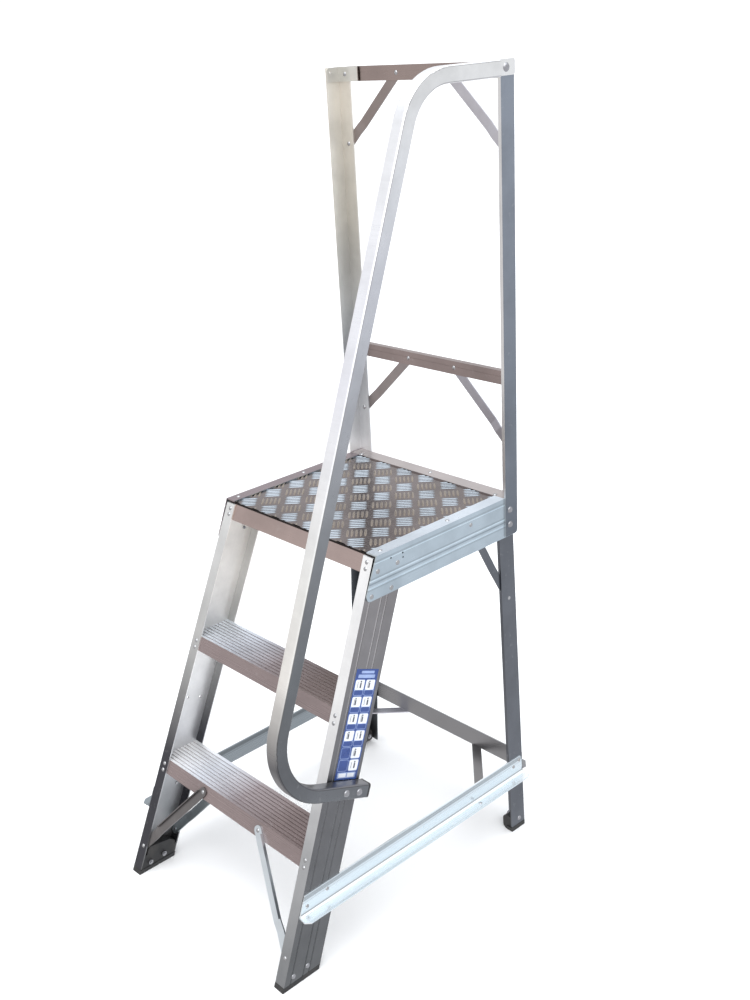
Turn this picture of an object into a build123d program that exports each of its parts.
from build123d import *
import math
import os

# Fixed warehouse step: two treads and a platform on slanted channel stiles, angle rear legs,
# a guard frame behind the platform and one bent handrail on the right. Millimetres.
# X runs right for a person facing the steps, Y runs back, Z runs up. All lengths below are
# measured from the front of the feet; every part is moved by -HALF_DEPTH when it is written,
# so that the origin lies under the middle of the whole object, on the ground.

# ---- overall ----
DECK_TOP = 700.0
TREAD_TOPS = (222.5, 454.5)
LEAN = 0.426  # backward run of a stile for each unit of rise
BASE_HALF = 231.0  # half the width over the stiles and legs, on the ground
PLATFORM_HALF = 202.5  # half the width over the platform's side members
PLATFORM_BACK = 645.0  # rear face of the platform
SIDE_DEPTH = 76.0  # height of the platform's side and rear members
POST_TOP = 1429.0
HALF_DEPTH = 329.8

# ---- sections ----
WALL = 2.5
STILE_DEPTH = 75.0
STILE_FLANGE = 23.0
STILE_LINES = (0.16, 0.50, 0.67)  # grooves down a stile's web, as shares of its depth
LEG_FLANGE = 38.0
POST_FLANGE = 32.0
SIDE_TOP_FLANGE = 24.5
BRACE_HEIGHT = 38.0
BRACE_FLANGE = 25.0
BRACE_FOLD = 7.0  # radius inside the fold of a side brace
RAIL_HEIGHT = 25.0
RAIL_LIP = 12.0
STRUT_WIDTH = 18.0
STRUT_WALL = 2.5
LEG_STRUT_WIDTH = 15.5
CLEAT_WALL = 2.0
CLEAT_REACH = 52.0  # length of a cleat's back leg
TUBE = 25.4
TUBE_WALL = 2.0
TUBE_CORNER = 4.0

# ---- levels and places ----
SOLE = 9.5  # rubber under the metal of every foot
DECK_PLATE_TOP = DECK_TOP - WALL
DECK_PLATE_THICK = 3.0
FRAME_TOP = DECK_PLATE_TOP - DECK_PLATE_THICK
SIDE_BOTTOM = DECK_TOP - SIDE_DEPTH
BRACE_BOTTOM = 124.0
KNEE_TOP = 923.0
REAR_BAND = 29.0  # depth of the rear member's top flange
RISER = 25.7  # height of a tread's front face
FASCIA_BOTTOM = 667.0
LEG_BACK_GROUND = 632.0
LEG_BACK_TOP = 642.4

# ---- worked out from the above ----
PLATFORM_INNER = PLATFORM_HALF - WALL
SPLAY = (BASE_HALF - PLATFORM_INNER) / SIDE_BOTTOM  # how far a side leans in, per unit of rise
TILT = math.atan(SPLAY)
SLANT = math.atan(LEAN)
STILE_RUN = STILE_DEPTH / math.cos(SLANT)  # stile depth measured level
WALL_RUN = WALL / math.cos(SLANT)
LEG_LEAN = (LEG_BACK_TOP - LEG_BACK_GROUND) / FRAME_TOP
POST_OUTER = PLATFORM_HALF + WALL
POST_BACK = PLATFORM_BACK + WALL
RAIL_BACK = POST_BACK + WALL
OUTWARD = Vector(1, 0, SPLAY).normalized()
INTO_STILE = Vector(0, math.cos(SLANT), -math.sin(SLANT))
SIDE = Plane(origin=(BASE_HALF, 0, 0), x_dir=(0, 1, 0), z_dir=OUTWARD)
FLUSH = 0.05  # air between faces that only just touch


def side_x(z):
    """Outer face of the right stile and leg at height z."""
    return BASE_HALF - SPLAY * z


def front_y(z):
    """Front face of a stile at height z."""
    return LEAN * z


def leg_back_y(z):
    return LEG_BACK_GROUND + LEG_LEAN * z


def side_point(y, z, out=0.0):
    """A point on the right side's leaning plane, or out from it."""
    return Vector(side_x(z), y, z) + OUTWARD * out


def side_plate(points, inner, outer):
    """A plate in the right side's leaning plane, from (y, z) points."""
    flat = [(y, z / math.cos(TILT)) for y, z in points]
    face = make_face(Polyline(*flat, close=True))
    placed = SIDE.offset(inner) * face
    return extrude(placed, amount=outer - inner, dir=OUTWARD)


def cross_bar(points, half_width):
    """A section given as (y, z) points, run across the steps."""
    face = Plane.YZ * make_face(Polyline(*points, close=True))
    return extrude(face, amount=half_width, both=True)


def box(low, high):
    size = [high[i] - low[i] for i in range(3)]
    middle = [(high[i] + low[i]) / 2 for i in range(3)]
    return Pos(*middle) * Box(*size)


def between(part, low, high):
    return part & box((-900, -900, low), (900, 1500, high))


SHORT_REACH = 7.0  # through two walls and the rivet's tail, clear of the wall behind


def drill(part, holes, radius, reach=15.0):
    """Holes through part, each given as (point, direction)."""
    for point, direction in holes:
        tool = Plane(origin=point, z_dir=direction) * Cylinder(radius, 2 * reach)
        part = part - tool
    return part


def mirrored(part):
    return part.mirror(Plane.YZ)


def mirror_holes(holes):
    return [
        (Vector(-p.X, p.Y, p.Z), Vector(-d.X, d.Y, d.Z)) for p, d in holes
    ]


def domed(radius, height):
    """A domed head standing on the XY plane, as a profile to revolve."""
    ball = (radius**2 + height**2) / (2 * height)
    middle = 0.6 * radius
    rise = height - ball + math.sqrt(ball**2 - middle**2)
    return ThreePointArc((radius, 0), (middle, rise), (0, height))


def fastener(head_radius, head_height, shank_radius, grip, tail_radius, tail_height):
    """A domed head above the XY plane, its shank through grip, and its tail below."""
    arc = domed(head_radius, head_height)
    corners = [
        (0, head_height),
        (0, -grip - tail_height),
        (tail_radius, -grip - tail_height),
        (tail_radius, -grip),
        (shank_radius, -grip),
        (shank_radius, 0),
        (head_radius, 0),
    ]
    outline = [Line(a, b) for a, b in zip(corners, corners[1:])]
    face = Plane.XZ * make_face(Wire(outline + [arc]))
    return revolve(face, Axis.Z, 360)


def place(solid, point, direction):
    return Plane(origin=point, z_dir=direction) * solid


RIVET_SHANK = 2.0


def rivet(point, direction, grip, head=3.9, height=2.0):
    """A rivet whose head sits at point and faces along direction."""
    return place(fastener(head, height, RIVET_SHANK, grip, 3.0, 1.4), point, direction)


def hex_nut(point, direction, across, height, bore):
    """A nut that stands on point, along direction, open at its bore."""
    blank = extrude(RegularPolygon(across / math.sqrt(3), 6), amount=height)
    blank = blank - Pos(0, 0, height / 2) * Cylinder(bore, height * 2)
    return place(blank, point, direction)


JOGGLE_PLACE = 0.76  # share of a strut's length at which it steps over
JOGGLE_RAMP = 9.0


def strut(start, end, normal, step=0.0):
    """A flat strut with round ends between two fixing points on one face of it.

    normal points from the fixing face into the strut. step moves the far half along normal.
    """
    run = end - start
    length = run.length
    along = run.normalized()
    plane = Plane(origin=start, x_dir=along, z_dir=normal)
    half = STRUT_WIDTH / 2
    round_end = half - 0.5
    flat = extrude(
        Pos(length / 2, 0)
        * RectangleRounded(length + 2 * half, STRUT_WIDTH, round_end),
        amount=abs(step) + STRUT_WALL,
    )
    low, high = (0.0, step) if step >= 0 else (-step, 0.0)
    middle = JOGGLE_PLACE * length
    ramp = JOGGLE_RAMP
    profile = [
        (-half, low),
        (middle - ramp, low),
        (middle + ramp, high),
        (length + half, high),
        (length + half, high + STRUT_WALL),
        (middle + ramp, high + STRUT_WALL),
        (middle - ramp, low + STRUT_WALL),
        (-half, low + STRUT_WALL),
    ]
    band = extrude(Plane.XZ * make_face(Polyline(*profile, close=True)), half, both=True)
    bar = flat & band
    if step < 0:
        bar = Pos(0, 0, step) * bar
    return plane * bar


PARTS = {}


def add(name, *solids):
    PARTS[name] = solids


def add_pair(name, right):
    add(name + "_right", right)
    add(name + "_left", mirrored(right))


# ---- fixing points, right side ----
RIVET_DROPS = (9.0, 21.0)  # below the top of a tread
FLANGE_MIDDLE = STILE_FLANGE / 2 + 1.0


def flange_point(z, run=0.0):
    """A point half way across the right stile's flange, at height z and run behind its front."""
    return Vector(side_x(z) - FLANGE_MIDDLE, front_y(z) + run, z)


TREAD_FRONT = [
    (flange_point(top - drop), -INTO_STILE) for top in TREAD_TOPS for drop in RIVET_DROPS
]
TREAD_BACK = [
    (flange_point(top - drop, STILE_RUN), INTO_STILE) for top in TREAD_TOPS for drop in RIVET_DROPS
]
FASCIA_FIX = [(flange_point(z), -INTO_STILE) for z in (686.0, 675.6)]
FRONT_STRUT_LOW = 53.5  # heights of the ends of the struts under the lower tread
BACK_STRUT_LOW = 50.0
STRUT_HIGH = 208.5
STRUT_TREAD_X = 82.0
STILE_SIDE_RISE = (632.0, 672.0)
STILE_SIDE_RUN = (13.3, 58.8)
STILE_SIDE_FIX = [
    (Vector(PLATFORM_HALF, front_y(z) + run, z), Vector(1, 0, 0))
    for z in STILE_SIDE_RISE
    for run in STILE_SIDE_RUN
]
POST_FIX_Y = 628.0
POST_FIX = [
    (Vector(POST_OUTER, POST_FIX_Y, z), Vector(1, 0, 0)) for z in (647.0, 675.5)
]
REAR_FIX = [
    (Vector(187.0, POST_BACK, z), Vector(0, 1, 0)) for z in (643.0, 681.0)
]
BRACE_FIX = [
    (side_point(y, z, WALL), OUTWARD)
    for y, z in ((72.6, 139.5), (119.0, 147.5), (605.5, 145.0), (622.0, 153.0))
]
REAR_BRACE_Y = 634.6
REAR_BRACE_FIX = [
    (Vector(x, REAR_BRACE_Y + WALL, 143.0), Vector(0, 1, 0)) for x in (193.0, 212.0)
]
GUSSET_FRONT = Vector(238.0, 495.0, BRACE_BOTTOM + WALL)
GUSSET_BACK = Vector(92.0, 647.0, BRACE_BOTTOM + WALL)
GUSSET_FIX = [(GUSSET_FRONT, Vector(0, 0, 1)), (GUSSET_BACK, Vector(0, 0, 1))]
LEG_STRUT_HIGH = (526.0, 679.0)
LEG_STRUT_LOW = (621.5, 501.0)
RAIL_LEVELS = (POST_TOP - RAIL_HEIGHT / 2, KNEE_TOP - RAIL_HEIGHT / 2)
GUARD_STRUT_X = 58.0
GUARD_POST_X = 186.0
GUARD_STRUT_DROP = 120.0
RAIL_END = 190.0
RAIL_FIX_X = 184.0
FRONT_FOOT_FIX = [(side_point(y, z), OUTWARD) for y, z in ((27.0, 20.0), (59.0, 22.0))]
REAR_FOOT_WIDTH = 23.0
REAR_FOOT_HEIGHT = 31.5
REAR_FOOT_FIX = [(side_point(617.0, 21.0), OUTWARD)]


# ---- handrail ----
RAIL_TOP_Z = 1421.3
RAIL_SLOPE = 0.4007
RAIL_INNER_LOW = 216.6  # inner face of the tube at the height of its lower end
RAIL_LOW_Z = 295.0
RAIL_TOE_IN = 0.01015  # how far the tube's plane leans in, per unit of rise
RAIL_OUT = Vector(1, 0, RAIL_TOE_IN).normalized()
RAIL_PLANE = Plane(
    origin=(RAIL_INNER_LOW + RAIL_TOE_IN * RAIL_LOW_Z, 0, 0), x_dir=(0, 1, 0), z_dir=RAIL_OUT
)
RAIL_KNEE = (408.7, RAIL_TOP_Z)  # where the top run and the slanted run would meet
RAIL_HEEL = (7.6, 389.8)  # where the slanted run and the lower run would meet
RAIL_LOW_SLOPE = -0.41
RAIL_LOW_END = 211.0
RAIL_TOP_END = 588.0
TONGUE_START = 600.0
TONGUE_END = 645.0
TONGUE_THICK = 4.0
KNEE_RADIUS = 92.0
HEEL_RADIUS = 115.0


def rail_point(y, z, out=0.0):
    """A world point from a place in the handrail's plane."""
    return RAIL_PLANE.from_local_coords(Vector(y, z, out))


def rail_low(y):
    return RAIL_HEEL[1] + RAIL_LOW_SLOPE * (y - RAIL_HEEL[0])


def unit(a, b):
    length = math.dist(a, b)
    return ((b[0] - a[0]) / length, (b[1] - a[1]) / length)


def rail_wire():
    """Centre line of the tube in its plane, as straight runs joined by tangent arcs."""
    start = (RAIL_TOP_END, RAIL_TOP_Z)
    end = (RAIL_LOW_END, rail_low(RAIL_LOW_END))
    corners = [start, RAIL_KNEE, RAIL_HEEL, end]
    return FilletPolyline(*corners, radius=[KNEE_RADIUS, HEEL_RADIUS])


def swept(size, corner):
    path = RAIL_PLANE.offset(TUBE / 2) * rail_wire()
    start = path @ 0
    section_plane = Plane(origin=start, x_dir=RAIL_OUT, z_dir=path % 0)
    section = section_plane * RectangleRounded(size, size, corner)
    return sweep(section, path=path)


def handrail():
    outer = swept(TUBE, TUBE_CORNER)
    bore = swept(TUBE - 2 * TUBE_WALL, TUBE_CORNER - TUBE_WALL)
    tube = outer - bore
    wide = Plane(origin=rail_point(RAIL_TOP_END, RAIL_TOP_Z, TUBE / 2), x_dir=RAIL_OUT, z_dir=(0, 1, 0))
    thin = Plane(origin=rail_point(TONGUE_START, RAIL_TOP_Z, TONGUE_THICK / 2), x_dir=RAIL_OUT, z_dir=(0, 1, 0))
    neck = loft([
        wide * RectangleRounded(TUBE, TUBE, TUBE_CORNER),
        thin * RectangleRounded(TONGUE_THICK, TUBE - 1.0, TONGUE_THICK / 2 - 0.3),
    ])
    tongue_length = TONGUE_END - TONGUE_START
    flat = Pos((TONGUE_START + TONGUE_END) / 2 - 1.0, RAIL_TOP_Z) * RectangleRounded(
        tongue_length + 2.0, TUBE - 1.0, 4.0
    )
    tongue = RAIL_PLANE * extrude(flat, amount=TONGUE_THICK)
    return tube + neck + tongue


RAIL_FIX_LOW = [
    (rail_point(y, rail_low(y), TUBE), RAIL_OUT) for y in (165.0, 193.0)
]
RAIL_FIX_TOP = [(rail_point(624.0, RAIL_TOP_Z, TONGUE_THICK), RAIL_OUT)]


# ---- stiles, legs and their feet ----
def slanted(first, last, low, top):
    """Outline of a band along the stile, from first to last behind its front."""
    return [
        (front_y(low) + first, low),
        (front_y(low) + last, low),
        (front_y(top) + last, top),
        (front_y(top) + first, top),
    ]


def stile(rail_hole):
    """The right stile, with holes of radius rail_hole for the handrail."""
    top = FRAME_TOP + 20
    low = -20.0

    def strip(first, last, depth):
        return side_plate(slanted(first, last, low, top), -depth, 0)

    flanges = cross_bar(slanted(0, WALL_RUN, low, top), 300)
    flanges = flanges + cross_bar(slanted(STILE_RUN - WALL_RUN, STILE_RUN, low, top), 300)
    room = side_plate(slanted(-90, STILE_RUN + 90, low - 50, top + 50), -STILE_FLANGE, 0)
    body = strip(0, STILE_RUN, WALL) + (flanges & room)
    for middle in STILE_LINES:
        line = middle * STILE_RUN
        body = body - side_plate(slanted(line - 1.0, line + 1.0, low, top), -0.8, 1.0)
    body = between(body, SOLE, FRAME_TOP - FLUSH)
    holes = TREAD_FRONT + TREAD_BACK + FASCIA_FIX
    holes = holes + [strut_front_low(), strut_back_low()]
    body = drill(body, holes, RIVET_SHANK)
    body = drill(body, STILE_SIDE_FIX + BRACE_FIX[:2], RIVET_SHANK)
    body = drill(body, [(p - RAIL_OUT * TUBE, d) for p, d in RAIL_FIX_LOW], rail_hole)
    return drill(body, FRONT_FOOT_FIX, FOOT_BOLT)


HANDRAIL_BOLT = 4.0
SPARE_HOLE = 2.5  # pilot holes on the left, for a handrail fitted there
FOOT_BOLT = 3.0
POST_BOLT = 4.0


def strut_front_low():
    return (flange_point(FRONT_STRUT_LOW), -INTO_STILE)


def strut_back_low():
    return (flange_point(BACK_STRUT_LOW, STILE_RUN), INTO_STILE)


def front_foot():
    gap = 0.1
    first = WALL_RUN + gap
    last = STILE_RUN - WALL_RUN - gap
    strut_room = STRUT_WALL + 2.4
    plug = [
        (front_y(-10) + first, -10.0),
        (front_y(-10) + last, -10.0),
        (front_y(28) + last, 28.0),
        (front_y(28) + last - strut_room, 28.0),
        (front_y(34) + last - strut_room, 34.0),
        (front_y(44) + last - 20.0, 44.0),
        (front_y(52) + first + strut_room, 52.0),
        (front_y(36) + first + strut_room, 36.0),
        (front_y(36) + first, 36.0),
    ]
    room = side_plate(slanted(-90, STILE_RUN + 90, -60, 120), -STILE_FLANGE, -WALL - gap)
    body = cross_bar(plug, 300) & room
    sole = [
        (front_y(-10), -10.0),
        (front_y(-10) + STILE_RUN, -10.0),
        (front_y(SOLE) + STILE_RUN, SOLE - gap),
        (front_y(SOLE), SOLE - gap),
    ]
    tread = between(side_plate(sole, -STILE_FLANGE - 1.0, 0), 0, SOLE - gap)
    body = between(body, 0, 200) + tread
    return drill(body, FRONT_FOOT_FIX, FOOT_BOLT, 40.0)


def leg():
    top = FRAME_TOP + 20
    low = -20.0

    def strip(first, last, depth):
        corners = [
            (leg_back_y(low) - first, low),
            (leg_back_y(top) - first, top),
            (leg_back_y(top) - last, top),
            (leg_back_y(low) - last, low),
        ]
        return side_plate(corners, -depth, 0)

    back = [
        (leg_back_y(low) - WALL, low),
        (leg_back_y(low), low),
        (leg_back_y(top), top),
        (leg_back_y(top) - WALL, top),
    ]
    body = strip(0, LEG_FLANGE, WALL)
    body = body + (cross_bar(back, 300) & strip(-90, 90, LEG_FLANGE))
    body = between(body, SOLE, FRAME_TOP - FLUSH)
    body = drill(body, BRACE_FIX[2:] + REAR_BRACE_FIX + REAR_FIX, RIVET_SHANK)
    body = drill(body, [leg_strut_low()], RIVET_SHANK)
    body = drill(body, POST_FIX, POST_BOLT)
    return drill(body, REAR_FOOT_FIX, FOOT_BOLT)


def leg_strut_low():
    return (side_point(*LEG_STRUT_LOW), OUTWARD)


def rear_foot():
    gap = 0.1
    back = LEG_BACK_GROUND - WALL - gap
    depth = LEG_FLANGE - WALL - 1.0
    width = REAR_FOOT_WIDTH
    outline = [
        (-width, 0.0),
        (-WALL - gap, 0.0),
        (-WALL - gap, REAR_FOOT_HEIGHT),
        (-width, REAR_FOOT_HEIGHT),
    ]
    face = make_face(Polyline(*outline, close=True))
    block = extrude(Plane.XZ * face, amount=depth)
    inner_edges = block.edges().filter_by(Axis.Y).group_by(Axis.X)[0].sort_by(Axis.Z)
    block = fillet(inner_edges[0], 11.0)
    inner_edges = block.edges().filter_by(Axis.Y).group_by(Axis.X)[0].sort_by(Axis.Z)
    block = fillet(inner_edges[-1], 8.5)
    block = Pos(side_x(20.0), back, 0) * block
    block = block & side_plate([(back - 60, -5), (back + 10, -5), (back + 10, 90), (back - 60, 90)], -90, -WALL - gap)
    block = block - leg_solid_for_foot()
    corners = [
        (back - depth, -5.0),
        (LEG_BACK_GROUND, -5.0),
        (LEG_BACK_GROUND, SOLE - gap),
        (back - depth - 2.0, SOLE - gap),
    ]
    sole = between(side_plate(corners, -width + 10.0, 0.5), 0, SOLE - gap)
    body = block + sole
    return drill(body, REAR_FOOT_FIX, FOOT_BOLT, 40.0)


def leg_solid_for_foot():
    """Room that the leg's rear flange takes in the foot's corner."""
    corners = [
        (leg_back_y(0) - WALL - 0.1, -5.0),
        (leg_back_y(0) + 5.0, -5.0),
        (leg_back_y(60) + 5.0, 60.0),
        (leg_back_y(60) - WALL - 0.1, 60.0),
    ]
    room = side_plate(corners, -60.0, 5.0)
    return between(room, SOLE - 0.1, 90)


# ---- treads and platform ----
GROOVES = 9


def tread(top):
    half = side_x(top) - WALL / math.cos(TILT) - FLUSH
    bottom = top - RISER
    first = WALL_RUN + FLUSH
    last = STILE_RUN - WALL_RUN - FLUSH
    outer = [
        (front_y(bottom) + first, bottom),
        (front_y(top) + first, top),
        (front_y(top) + last, top),
        (front_y(bottom) + last, bottom),
    ]
    inner = [
        (front_y(bottom - 5) + first + WALL_RUN, bottom - 5),
        (front_y(top - WALL) + first + WALL_RUN, top - WALL),
        (front_y(top - WALL) + last - WALL_RUN, top - WALL),
        (front_y(bottom - 5) + last - WALL_RUN, bottom - 5),
    ]
    body = cross_bar(outer, half) - cross_bar(inner, half + 1)
    start = front_y(top) + first + 5.0
    pitch = (last - first - 7.0) / GROOVES
    for number in range(GROOVES):
        low = start + number * pitch
        body = body - box((-half - 1, low, top - 1.2), (half + 1, low + 2.2, top + 1))
    holes = [h for h in TREAD_FRONT + TREAD_BACK if bottom < h[0].Z < top]
    if top == TREAD_TOPS[0]:
        holes = holes + [strut_front_high(), strut_back_high()]
    return drill(body, holes + mirror_holes(holes), RIVET_SHANK, SHORT_REACH)


def strut_front_high():
    z = STRUT_HIGH
    return (Vector(STRUT_TREAD_X, front_y(z) + WALL_RUN, z), -INTO_STILE)


def strut_back_high():
    z = STRUT_HIGH
    return (Vector(STRUT_TREAD_X, front_y(z) + STILE_RUN - WALL_RUN, z), INTO_STILE)


def platform_side():
    gap = 0.8
    web = make_face(
        Polyline(
            (front_y(SIDE_BOTTOM) + gap, SIDE_BOTTOM),
            (PLATFORM_BACK, SIDE_BOTTOM),
            (PLATFORM_BACK, DECK_TOP),
            (front_y(DECK_TOP) + gap, DECK_TOP),
            close=True,
        )
    )
    corner = web.vertices().sort_by(Axis.X)[0]
    web = fillet(corner, 9.0)
    body = extrude(Plane.YZ.offset(PLATFORM_INNER) * web, amount=WALL)
    flange = box(
        (PLATFORM_HALF - SIDE_TOP_FLANGE, front_y(DECK_TOP) + gap, DECK_PLATE_TOP),
        (PLATFORM_HALF, PLATFORM_BACK - REAR_BAND, DECK_TOP),
    )
    body = body + flange
    for drop in (12.5, 40.0, 46.0, 53.0):
        groove = box(
            (PLATFORM_HALF - 0.5, 0, DECK_TOP - drop - 0.8),
            (PLATFORM_HALF + 1, POST_FIX_Y - 13.0, DECK_TOP - drop + 0.8),
        )
        body = body - groove
    body = drill(body, STILE_SIDE_FIX + [leg_strut_high()], RIVET_SHANK)
    body = drill(body, POST_FIX, POST_BOLT)
    body = drill(body, DECK_SIDE_FIX, RIVET_SHANK)
    spare = [(Vector(PLATFORM_HALF, y, z), Vector(1, 0, 0)) for y, z in SIDE_SPARES]
    return drill(body, spare, 1.6)


SIDE_SPARES = ((330.5, 685.5), (358.0, 685.5), (358.0, 677.5))


def leg_strut_high():
    y, z = LEG_STRUT_HIGH
    return (Vector(PLATFORM_HALF, y, z), Vector(1, 0, 0))


UP = Vector(0, 0, 1)
DECK_SIDE_FIX = [(Vector(190.5, y, DECK_TOP), UP) for y in (318.0, 479.0)]
DECK_REAR_FIX = [(Vector(x, y, DECK_TOP), UP) for x, y in ((-176.0, 621.0), (5.0, 631.0), (176.0, 621.0))]


def deck_plate():
    half = PLATFORM_INNER - FLUSH
    front = front_y(FRAME_TOP) + WALL_RUN + 1.5
    back = PLATFORM_BACK - WALL - FLUSH
    body = box((-half, front, FRAME_TOP), (half, back, DECK_PLATE_TOP - 0.02))
    holes = DECK_SIDE_FIX + mirror_holes(DECK_SIDE_FIX) + DECK_REAR_FIX
    return drill(body, holes, RIVET_SHANK)


def deck_front_fascia():
    half = side_x(FRAME_TOP) - WALL / math.cos(TILT) - 1.5
    first = WALL_RUN + FLUSH
    top = FRAME_TOP - FLUSH
    bottom = FASCIA_BOTTOM
    outline = [
        (front_y(bottom) + first, bottom),
        (front_y(top) + first, top),
        (front_y(top) + first + 30.0, top),
        (front_y(top) + first + 30.0, top - WALL),
        (front_y(top - WALL) + first + WALL_RUN, top - WALL),
        (front_y(bottom + WALL) + first + WALL_RUN, bottom + WALL),
        (front_y(bottom + WALL) + first + 16.0, bottom + WALL),
        (front_y(bottom) + first + 16.0, bottom),
    ]
    body = cross_bar(outline, half)
    body = drill(body, FASCIA_FIX + mirror_holes(FASCIA_FIX), RIVET_SHANK, SHORT_REACH)
    corner = DECK_SIDE_FIX[:1]
    return drill(body, corner + mirror_holes(corner), RIVET_SHANK)


def deck_rear_channel():
    half = PLATFORM_INNER - FLUSH
    back = PLATFORM_BACK
    low_half = side_x(SIDE_BOTTOM) - LEG_FLANGE - 3.0
    body = box((-half, back - WALL, SIDE_BOTTOM), (half, back, DECK_TOP))
    body = body + box((-half, back - REAR_BAND + FLUSH, DECK_PLATE_TOP), (half, back, DECK_TOP))
    body = body + box((-low_half, back - REAR_BAND, SIDE_BOTTOM), (low_half, back, SIDE_BOTTOM + WALL))
    body = drill(body, REAR_FIX + mirror_holes(REAR_FIX), RIVET_SHANK)
    return drill(body, DECK_REAR_FIX, RIVET_SHANK)


# ---- guard frame ----
def guard_post(rail_hole):
    """The right guard post, with a hole of radius rail_hole for the handrail."""
    low = SIDE_BOTTOM + 2.0
    side_flange = make_face(
        Polyline(
            (POST_BACK - POST_FLANGE, low),
            (POST_BACK, low),
            (POST_BACK, POST_TOP),
            (POST_BACK - POST_FLANGE, POST_TOP),
            close=True,
        )
    )
    side_flange = fillet(side_flange.vertices().group_by(Axis.Y)[0].sort_by(Axis.X)[-1], 6.0)
    body = extrude(Plane.YZ.offset(PLATFORM_HALF) * side_flange, amount=WALL)
    body = body + box(
        (POST_OUTER - POST_FLANGE, PLATFORM_BACK, low + 6.0), (POST_OUTER, POST_BACK, POST_TOP)
    )
    body = drill(body, POST_FIX, POST_BOLT)
    body = drill(body, RAIL_FIX_TOP, rail_hole)
    return drill(body, REAR_FIX + RAIL_POST_FIX + GUARD_LOW_FIX, RIVET_SHANK)


RAIL_POST_FIX = [
    (Vector(RAIL_FIX_X, PLATFORM_BACK, level), Vector(0, -1, 0)) for level in RAIL_LEVELS
]
GUARD_LOW_FIX = [
    (Vector(GUARD_POST_X, PLATFORM_BACK, level - GUARD_STRUT_DROP), Vector(0, -1, 0))
    for level in RAIL_LEVELS
]
GUARD_HIGH_FIX = [
    (Vector(GUARD_STRUT_X, POST_BACK, level), Vector(0, -1, 0)) for level in RAIL_LEVELS
]


def guard_cleat(rail_hole):
    """An angle inside the top of the right post, which doubles both of its flanges."""
    low = POST_TOP - RAIL_HEIGHT
    front = POST_BACK - POST_FLANGE + 0.5
    inner = PLATFORM_HALF - FLUSH
    back = PLATFORM_BACK - FLUSH
    side = box((inner - CLEAT_WALL, front, low), (inner, back, POST_TOP))
    side = fillet(side.edges().filter_by(Axis.X).group_by(Axis.Y)[0].sort_by(Axis.Z)[-1], 6.0)
    body = side + box((inner - CLEAT_REACH, back - CLEAT_WALL, low), (inner, back, POST_TOP))
    body = drill(body, RAIL_FIX_TOP, rail_hole)
    return drill(body, RAIL_POST_FIX[:1], RIVET_SHANK)


def cross_rail(level):
    top = level + RAIL_HEIGHT / 2
    low = level - RAIL_HEIGHT / 2
    body = box((-RAIL_END, POST_BACK, low), (RAIL_END, RAIL_BACK, top))
    body = body + box((-RAIL_END, POST_BACK, top - WALL), (RAIL_END, POST_BACK + RAIL_LIP, top))
    ridge = level + 2.5
    body = body - box((-RAIL_END - 1, POST_BACK - 1, ridge - 0.6), (RAIL_END + 1, POST_BACK + 0.5, ridge + 0.6))
    near = [h for h in RAIL_POST_FIX + GUARD_HIGH_FIX if abs(h[0].Z - level) < RAIL_HEIGHT]
    return drill(body, near + mirror_holes(near), RIVET_SHANK)


def guard_strut(level):
    back = Vector(0, 1, 0)
    high = Vector(GUARD_STRUT_X, RAIL_BACK, level)
    low = Vector(GUARD_POST_X, RAIL_BACK, level - GUARD_STRUT_DROP)
    body = strut(high, low, back, step=-WALL)
    near = [h for h in GUARD_HIGH_FIX if abs(h[0].Z - level) < 1]
    near = near + [h for h in GUARD_LOW_FIX if abs(h[0].Z - level + GUARD_STRUT_DROP) < 1]
    return drill(body, near, RIVET_SHANK)


# ---- struts and braces low down ----
def tread_strut_front():
    high = strut_front_high()[0] - INTO_STILE * FLUSH
    low = flange_point(FRONT_STRUT_LOW, WALL_RUN) - INTO_STILE * FLUSH
    body = strut(high, low, -INTO_STILE, step=-STRUT_WALL - 2 * FLUSH)
    body = body + strut_lip(high, low, -INTO_STILE, 6.5)
    return drill(body, [strut_front_high(), strut_front_low()], RIVET_SHANK)


def tread_strut_back():
    high = strut_back_high()[0] + INTO_STILE * FLUSH
    low = flange_point(BACK_STRUT_LOW, STILE_RUN - WALL_RUN) + INTO_STILE * FLUSH
    body = strut(high, low, INTO_STILE, step=-STRUT_WALL - 2 * FLUSH)
    return drill(body, [strut_back_high(), strut_back_low()], RIVET_SHANK)


def strut_lip(high, low, normal, depth):
    """The turned edge along a strut's upper side, clear of both ends."""
    run = low - high
    plane = Plane(origin=high, x_dir=run.normalized(), z_dir=normal)
    half = STRUT_WIDTH / 2
    first = 8.0
    last = JOGGLE_PLACE * run.length - JOGGLE_RAMP - 2.0
    return plane * box((first, half - 2.0, 0), (last, half, depth))


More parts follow.
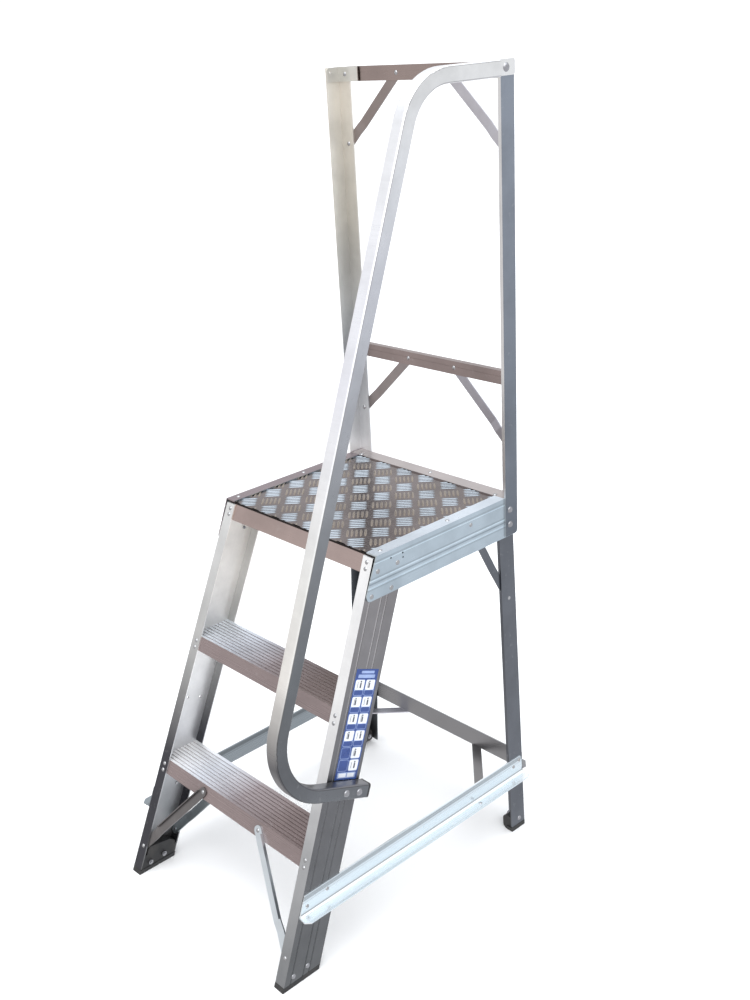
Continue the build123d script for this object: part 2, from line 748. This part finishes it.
def side_brace():
    low = BRACE_BOTTOM
    high = low + BRACE_HEIGHT
    back_low = 626.0
    web = [
        (front_y(low) + 1.0, low),
        (back_low, low),
        (back_low + 4.0, low + 12.0),
        (back_low + 4.0, high - 5.0),
        (back_low - 1.0, high),
        (front_y(high) + 1.0, high),
    ]
    body = side_plate(web, 0.0, WALL)
    inner = side_x(low + WALL) + 0.4
    outer = side_x(low) + BRACE_FLANGE
    flange = make_face(
        Polyline(
            (inner, front_y(low) + 1.0),
            (outer - 8.0, front_y(low) - 1.0),
            (outer, front_y(low) + 8.0),
            (outer, back_low - 6.0),
            (outer - 5.0, back_low + 4.0),
            (inner, back_low + 4.0),
            close=True,
        )
    )
    body = body + extrude(Pos(0, 0, low) * flange, amount=WALL)
    fold_x = side_x(low + WALL) + WALL / math.cos(TILT)
    fold = [
        edge for edge in body.edges()
        if edge.length > 300
        and abs(edge.center().Z - low - WALL) < 0.1
        and abs(edge.center().X - fold_x) < 0.5
    ]
    body = fillet(fold, BRACE_FOLD)
    body = drill(body, BRACE_FIX, RIVET_SHANK)
    return drill(body, GUSSET_FIX[:1], RIVET_SHANK)


def rear_brace():
    low = BRACE_BOTTOM
    high = low + BRACE_HEIGHT
    half = side_x(high) - 1.5
    front = REAR_BRACE_Y
    body = box((-half, front, low), (half, front + WALL, high))
    flange = make_face(
        Polyline(
            (-half, front),
            (half, front),
            (half + 2.0, front + 12.0),
            (half - 10.0, front + BRACE_FLANGE),
            (-half + 10.0, front + BRACE_FLANGE),
            (-half - 2.0, front + 12.0),
            close=True,
        )
    )
    body = body + extrude(Pos(0, 0, low) * flange, amount=WALL)
    holes = REAR_BRACE_FIX + GUSSET_FIX[1:]
    return drill(body, holes + mirror_holes(holes), RIVET_SHANK)


def corner_gusset():
    below = Vector(0, 0, -WALL)
    body = strut(GUSSET_BACK + below, GUSSET_FRONT + below, Vector(0, 0, -1))
    return drill(body, GUSSET_FIX, RIVET_SHANK)


def leg_strut():
    """Flat along the platform's side, then bent to lie along the leg."""
    (y1, z1), (y2, z2) = LEG_STRUT_HIGH, LEG_STRUT_LOW
    length = math.dist(LEG_STRUT_HIGH, LEG_STRUT_LOW)
    angle = math.degrees(math.atan2(z2 - z1, y2 - y1))
    flat = RectangleRounded(length + LEG_STRUT_WIDTH, LEG_STRUT_WIDTH, LEG_STRUT_WIDTH / 2 - 0.5)
    flat = Pos((y1 + y2) / 2, (z1 + z2) / 2) * Rot(0, 0, angle) * flat
    bar = extrude(Plane.YZ.offset(150) * flat, amount=90)
    top_x = PLATFORM_INNER - FLUSH
    bend_z = (BASE_HALF - WALL / math.cos(TILT) - FLUSH - top_x) / SPLAY
    low_x = top_x + SPLAY * (bend_z - 450.0)
    profile = [
        (top_x, 720.0),
        (top_x, bend_z),
        (low_x, 450.0),
        (low_x - STRUT_WALL, 450.0),
        (top_x - STRUT_WALL, bend_z),
        (top_x - STRUT_WALL, 720.0),
    ]
    band = extrude(Plane.XZ * make_face(Polyline(*profile, close=True)), amount=-900)
    return drill(bar & band, [leg_strut_high(), leg_strut_low()], RIVET_SHANK)


# ---- label ----
def safety_label():
    first = 16.5 / math.cos(SLANT)
    width = 51.0
    top = 517.0
    bottom = 340.0
    across = (width * math.cos(SLANT), -width * math.sin(SLANT))
    start = (front_y(top) + first, top)
    end = (front_y(bottom) + first, bottom)
    corners = [
        start,
        (start[0] + across[0], start[1] + across[1]),
        (end[0] + across[0], end[1] + across[1]),
        end,
    ]
    return side_plate(corners, 0.0, 0.3)


def end_cap():
    """Plastic plug in the lower end of the handrail, with a rim over the tube's end."""
    path = RAIL_PLANE.offset(TUBE / 2) * rail_wire()
    end = path @ 1
    facing = path % 1
    plane = Plane(origin=end, x_dir=RAIL_OUT, z_dir=facing)
    rim = extrude(RectangleRounded(TUBE, TUBE, TUBE_CORNER), amount=4.5)
    plug_size = TUBE - 2 * TUBE_WALL - 0.1
    plug = extrude(RectangleRounded(plug_size, plug_size, TUBE_CORNER - TUBE_WALL), amount=-6.0)
    return plane * (rim + plug)


# ---- fasteners ----
def set_rivets(holes, grip, head=3.9, height=2.0):
    return [rivet(point, direction, grip, head, height) for point, direction in holes]


def moved(hole, distance):
    """The same hole, with its point moved along its direction."""
    point, direction = hole
    return (point + direction * distance, direction)


def bolt_and_nut(hole, grip, shank, head, height, nut_height=5.0):
    """A dome-headed bolt through grip, and its nut on the far side."""
    point, direction = hole
    tail = nut_height + 2.0
    screw = fastener(head, height, shank, grip, shank - 0.4, tail)
    seat = point - direction * grip
    nut = hex_nut(seat, direction * -1, shank * 3.2, nut_height, shank - 0.4)
    return [place(screw, point, direction), nut]


def add_fasteners(name, right, middle=()):
    """One node for the right side's fasteners, their mirror images and those on the middle."""
    add(name, *right, *[mirrored(solid) for solid in right], *middle)


TWO_WALLS = 2 * WALL + 0.12
THREE_WALLS = WALL + DECK_PLATE_THICK + WALL + 0.2


def tread_rivets():
    add_fasteners("tread_rivets", set_rivets(TREAD_FRONT + TREAD_BACK, TWO_WALLS))


def strut_rivets():
    high = [moved(hole, STRUT_WALL + FLUSH) for hole in (strut_front_high(), strut_back_high())]
    low = [strut_front_low(), strut_back_low()]
    add_fasteners("tread_strut_rivets", set_rivets(high + low, TWO_WALLS + 0.1))
    outer_end = set_rivets([leg_strut_high()], TWO_WALLS)
    outer_end = outer_end + set_rivets([leg_strut_low()], TWO_WALLS, 3.4, 0.7)
    add_fasteners("leg_strut_rivets", outer_end)


def platform_rivets():
    right = set_rivets(FASCIA_FIX, TWO_WALLS)
    for hole in STILE_SIDE_FIX:
        z = hole[0].Z
        grip = PLATFORM_HALF - side_x(z) + WALL + 0.35
        right = right + set_rivets([hole], grip, 4.5, 2.2)
    for hole in REAR_FIX:
        grip = POST_BACK - leg_back_y(hole[0].Z) + WALL + 0.12
        right = right + set_rivets([hole], grip)
    add_fasteners("platform_rivets", right)


def deck_rivets():
    right = set_rivets(DECK_SIDE_FIX[:1], THREE_WALLS)
    right = right + set_rivets(DECK_SIDE_FIX[1:], WALL + DECK_PLATE_THICK + 0.1)
    middle = set_rivets(DECK_REAR_FIX, WALL + DECK_PLATE_THICK + 0.1)
    add_fasteners("deck_rivets", right, middle)


def base_brace_rivets():
    right = set_rivets(BRACE_FIX, TWO_WALLS)
    for hole in REAR_BRACE_FIX:
        grip = hole[0].Y - leg_back_y(hole[0].Z) + WALL + 0.12
        right = right + set_rivets([hole], grip)
    right = right + set_rivets(GUSSET_FIX, TWO_WALLS)
    add_fasteners("base_brace_rivets", right)


def guard_rivets():
    right = set_rivets(RAIL_POST_FIX[1:] + GUARD_HIGH_FIX + GUARD_LOW_FIX, TWO_WALLS)
    over_cleat = [moved(hole, CLEAT_WALL + FLUSH) for hole in RAIL_POST_FIX[:1]]
    right = right + set_rivets(over_cleat, TWO_WALLS + CLEAT_WALL + FLUSH)
    add_fasteners("guard_rivets", right)


def post_bolts():
    right = []
    for hole in POST_FIX:
        grip = POST_OUTER - side_x(hole[0].Z) + WALL + 0.45
        right = right + bolt_and_nut(hole, grip, POST_BOLT, 6.2, 3.4)
    add_fasteners("guard_post_bolts", right)


def handrail_bolts():
    solids = []
    for hole in RAIL_FIX_LOW:
        gap = hole[0].X - TUBE - side_x(hole[0].Z)
        solids = solids + bolt_and_nut(hole, TUBE + gap + WALL + 0.5, HANDRAIL_BOLT, 6.5, 3.6)
    grip = TONGUE_THICK + WALL + CLEAT_WALL + 0.6
    solids = solids + bolt_and_nut(RAIL_FIX_TOP[0], grip, HANDRAIL_BOLT, 7.2, 4.0)
    add("handrail_bolts", *solids)


def foot_bolts():
    right = []
    for hole in FRONT_FOOT_FIX:
        right = right + bolt_and_nut(hole, STILE_FLANGE + 0.1, FOOT_BOLT, 4.8, 2.6, 4.5)
    for hole in REAR_FOOT_FIX:
        right = right + bolt_and_nut(hole, REAR_FOOT_WIDTH + 0.6, FOOT_BOLT, 4.8, 2.6, 4.5)
    add_fasteners("foot_bolts", right)


def build():
    add("stile_right", stile(HANDRAIL_BOLT))
    add("stile_left", mirrored(stile(SPARE_HOLE)))
    add_pair("front_foot", front_foot())
    add_pair("rear_leg", leg())
    add_pair("rear_foot", rear_foot())
    add("tread_lower", tread(TREAD_TOPS[0]))
    add("tread_upper", tread(TREAD_TOPS[1]))
    add_pair("platform_side", platform_side())
    add("deck_plate", deck_plate())
    add("deck_front_fascia", deck_front_fascia())
    add("deck_rear_channel", deck_rear_channel())
    add("guard_post_right", guard_post(HANDRAIL_BOLT))
    add("guard_post_left", mirrored(guard_post(SPARE_HOLE)))
    add("guard_cleat_right", guard_cleat(HANDRAIL_BOLT))
    add("guard_cleat_left", mirrored(guard_cleat(SPARE_HOLE)))
    add("guard_top_rail", cross_rail(RAIL_LEVELS[0]))
    add("guard_knee_rail", cross_rail(RAIL_LEVELS[1]))
    add_pair("guard_top_strut", guard_strut(RAIL_LEVELS[0]))
    add_pair("guard_knee_strut", guard_strut(RAIL_LEVELS[1]))
    add_pair("tread_strut_front", tread_strut_front())
    add_pair("tread_strut_back", tread_strut_back())
    add_pair("side_brace", side_brace())
    add("rear_brace", rear_brace())
    add_pair("corner_gusset", corner_gusset())
    add_pair("leg_strut", leg_strut())
    rail = handrail()
    rail = drill(rail, RAIL_FIX_TOP, HANDRAIL_BOLT)
    rail = drill(rail, [(p - RAIL_OUT * (TUBE / 2), d) for p, d in RAIL_FIX_LOW], HANDRAIL_BOLT)
    add("handrail", rail)
    add("handrail_end_cap", end_cap())
    add("safety_label", safety_label())
    tread_rivets()
    strut_rivets()
    platform_rivets()
    deck_rivets()
    base_brace_rivets()
    guard_rivets()
    post_bolts()
    handrail_bolts()
    foot_bolts()


if __name__ == "__main__":
    build()
    os.makedirs("parts", exist_ok=True)
    for name, solids in PARTS.items():
        moved_solids = [Pos(0, -HALF_DEPTH, 0) * solid for solid in solids]
        whole = moved_solids[0] if len(moved_solids) == 1 else Compound(children=moved_solids)
        export_step(whole, f"parts/{name}.step")
